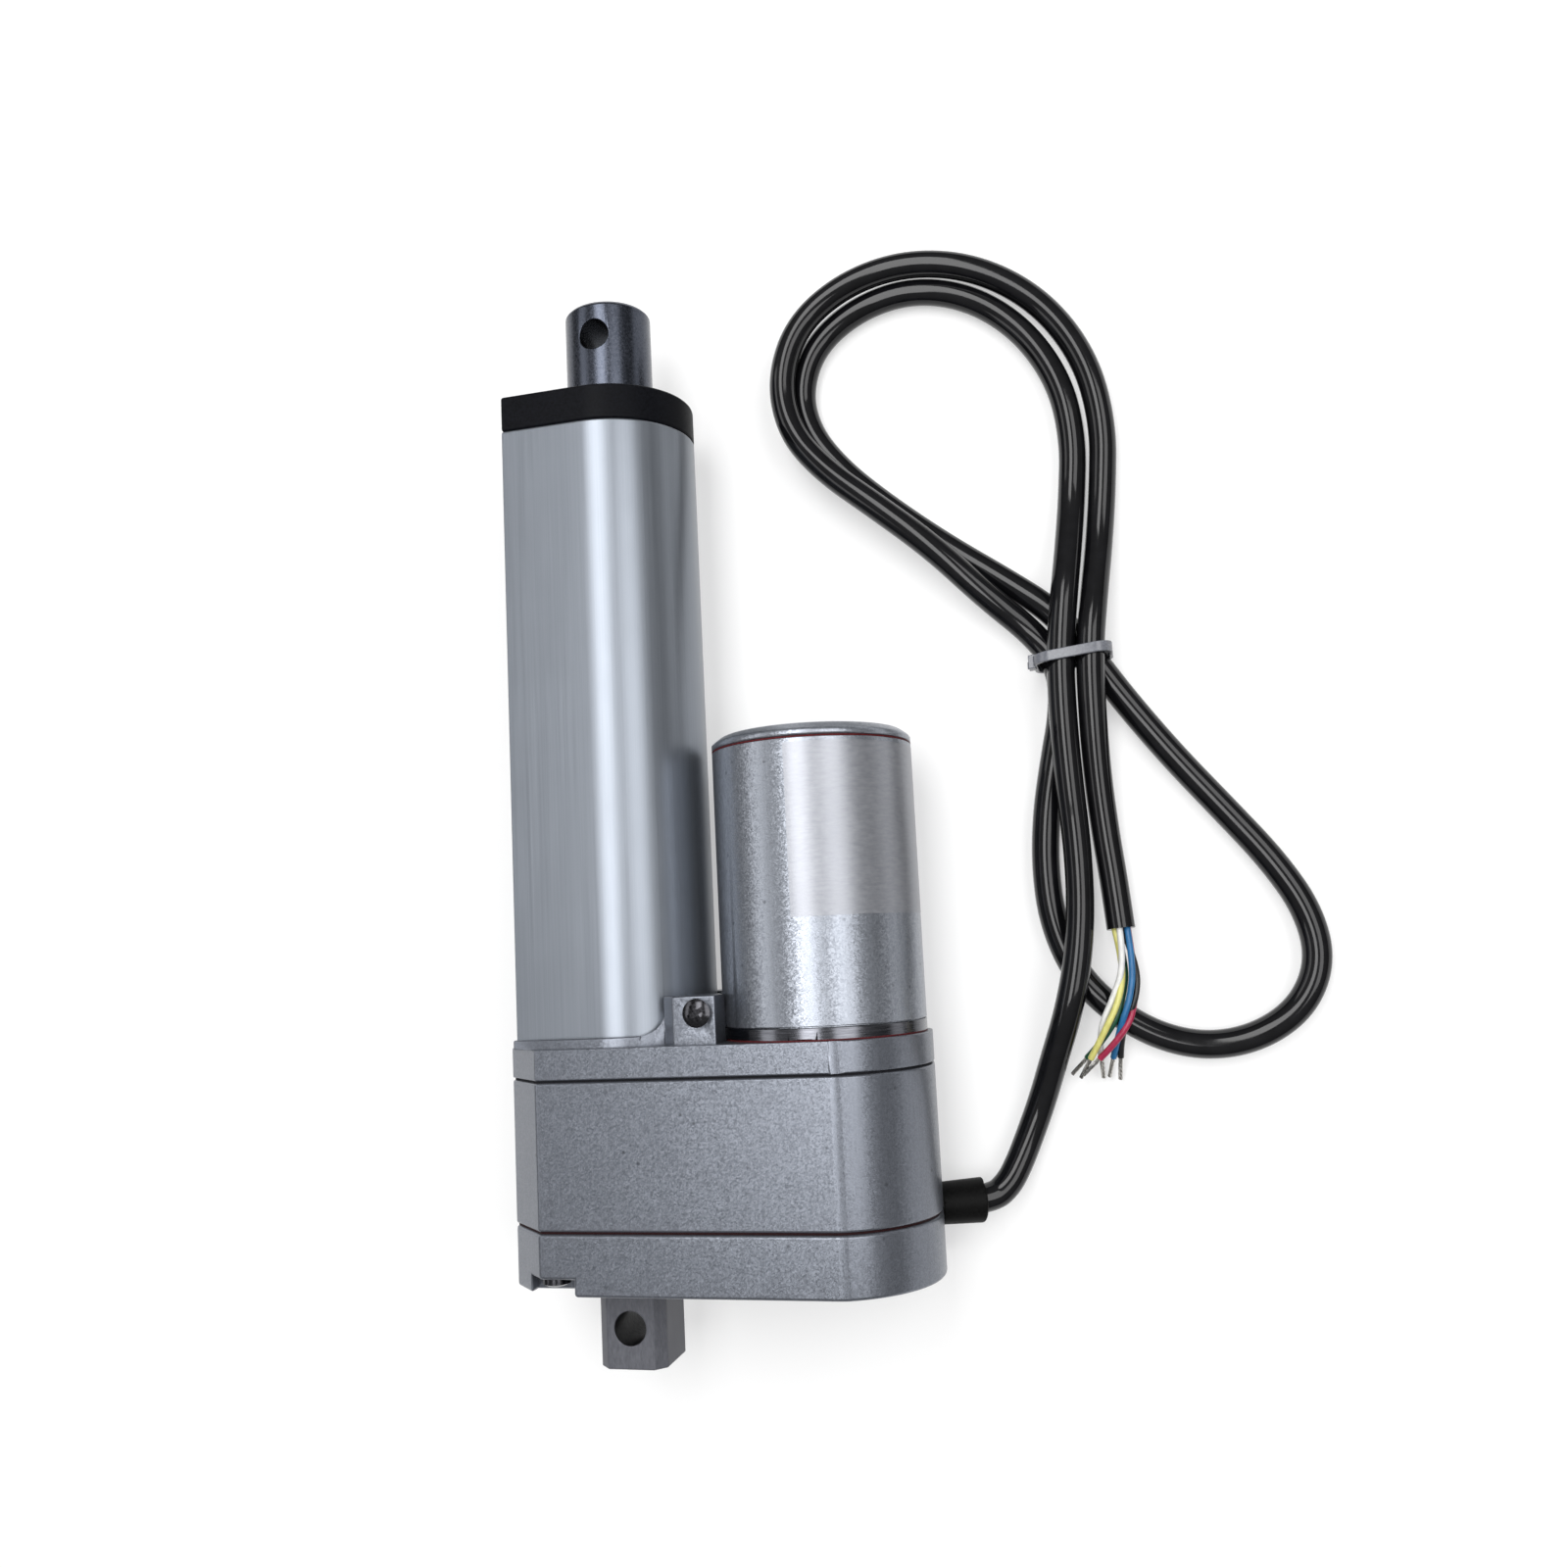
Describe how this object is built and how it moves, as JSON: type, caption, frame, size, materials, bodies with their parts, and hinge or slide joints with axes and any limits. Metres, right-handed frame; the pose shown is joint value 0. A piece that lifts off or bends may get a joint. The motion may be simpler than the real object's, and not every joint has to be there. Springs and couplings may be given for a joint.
{
  "type": "electric linear actuator",
  "caption": "Electric linear actuator: motor and gearbox beside a D-section tube, drilled push rod, rear clevis, and a tied cable with bare wire ends.",
  "frame": {"origin": "centre of the rear pivot hole, on the rod's axis", "axes": "+Y along the rod from the rear pivot to the front pivot, +X towards the motor, +Z along both pivot holes, away from the surface it lies on"},
  "size_m": [0.1611, 0.2308, 0.041],
  "materials": {
    "bright_rod": "ground and plated",
    "silver_paint": "metallic silver paint on castings",
    "anodised_tube": "satin anodised",
    "black_plastic": "moulded",
    "raw_casting": "tumbled casting",
    "motor_paint": "metallic silver paint",
    "bright_ring": "polished",
    "red_seal": "moulded",
    "dark_gasket": "cut sheet",
    "dark_screw": "black nickel",
    "steel": "machined",
    "gear_nylon": "moulded",
    "nut_acetal": "machined",
    "bronze": "sintered",
    "wiper_rubber": "moulded",
    "board_green": "laminate",
    "switch_black": "moulded",
    "plunger_red": "moulded",
    "can_steel": "zinc plated",
    "ferrite": "sintered",
    "lamination_steel": "stacked sheet",
    "copper": "enamelled wire",
    "carbon": "pressed",
    "gland_rubber": "moulded",
    "cable_jacket": "glossy extruded",
    "tie_nylon": "clear nylon",
    "wire_blue": "extruded",
    "wire_white": "extruded",
    "wire_yellow": "extruded",
    "wire_green": "extruded",
    "wire_black": "extruded",
    "wire_red": "extruded",
    "tinned_copper": "tinned"
  },
  "bodies": {
    "housing": {"bearing_outer_ring": "steel", "bearing_balls": "steel", "bearing_retainer": "steel", "outer_tube": "anodised_tube", "front_cap": "black_plastic", "rod_guide_bush": "bronze", "rod_wiper_seal": "wiper_rubber", "limit_switch_board": "board_green", "lower_limit_switch": "switch_black", "upper_limit_switch": "switch_black", "front_housing": "silver_paint", "gear_housing": "silver_paint", "rear_cover": "silver_paint", "rear_clevis": "raw_casting", "front_gasket": "dark_gasket", "rear_gasket": "red_seal", "cover_screws": "dark_screw", "tube_clamp_screws": "dark_screw", "motor_screws": "dark_screw", "motor_sleeve": "motor_paint", "motor_end_cap": "motor_paint", "motor_end_ring": "red_seal", "motor_base_ring": "bright_ring", "motor_base_gasket": "red_seal", "motor_can": "can_steel", "motor_end_bell": "black_plastic", "motor_magnets": "ferrite", "motor_bushes": "bronze", "brush_holder": "black_plastic", "brushes": "carbon", "idler_axle": "steel", "cable_gland": "gland_rubber", "cable": "cable_jacket", "cable_tie": "tie_nylon", "wire_blue": "wire_blue", "wire_white": "wire_white", "wire_yellow": "wire_yellow", "wire_green": "wire_green", "wire_black": "wire_black", "wire_red": "wire_red", "wire_tips": "tinned_copper"},
    "rod": {"rod_tube": "bright_rod", "rod_end": "bright_rod", "drive_nut": "nut_acetal"},
    "screw": {"lead_screw": "steel", "screw_gear": "gear_nylon", "gear_key": "steel", "gear_retaining_rings": "steel", "bearing_inner_ring": "steel"},
    "idler": {"idler_gear": "gear_nylon"},
    "rotor": {"motor_shaft": "steel", "rotor_core": "lamination_steel", "rotor_windings": "copper", "commutator": "copper", "motor_pinion": "steel"},
    "lower_plunger": {"lower_switch_plunger": "plunger_red"},
    "upper_plunger": {"upper_switch_plunger": "plunger_red"}
  },
  "joints": [
    {"name": "motor_spin", "type": "hinge", "parent": "housing", "child": "rotor", "pos_m": [0.0409, 0.05, 0], "axis": [0, -1, 0], "range_deg": [0, 143485.7]},
    {"name": "idler_spin", "type": "hinge", "parent": "housing", "child": "idler", "pos_m": [0.0225, 0.04, 0], "axis": [0, -1, 0], "range_deg": [-39857.2, 0]},
    {"name": "screw_spin", "type": "hinge", "parent": "housing", "child": "screw", "pos_m": [0, 0.04, 0], "axis": [0, -1, 0], "range_deg": [0, 18000.1]},
    {"name": "rod_slide", "type": "slide", "parent": "housing", "child": "rod", "axis": [0, 1, 0], "range_m": [0, 0.1]},
    {"name": "lower_switch_press", "type": "slide", "parent": "housing", "child": "lower_plunger", "axis": [-1, 0, 0], "range_m": [0, 0.0003], "stiffness_N_per_m": 50},
    {"name": "upper_switch_press", "type": "slide", "parent": "housing", "child": "upper_plunger", "axis": [-1, 0, 0], "range_m": [0, 0.0003], "stiffness_N_per_m": 50}
  ],
  "couplings": [
    {"joint": "idler_spin", "follows": "motor_spin", "ratio": -0.27778},
    {"joint": "screw_spin", "follows": "motor_spin", "ratio": 0.12545},
    {"joint": "rod_slide", "follows": "motor_spin", "m_per_rad": 0.000039931}
  ]
}
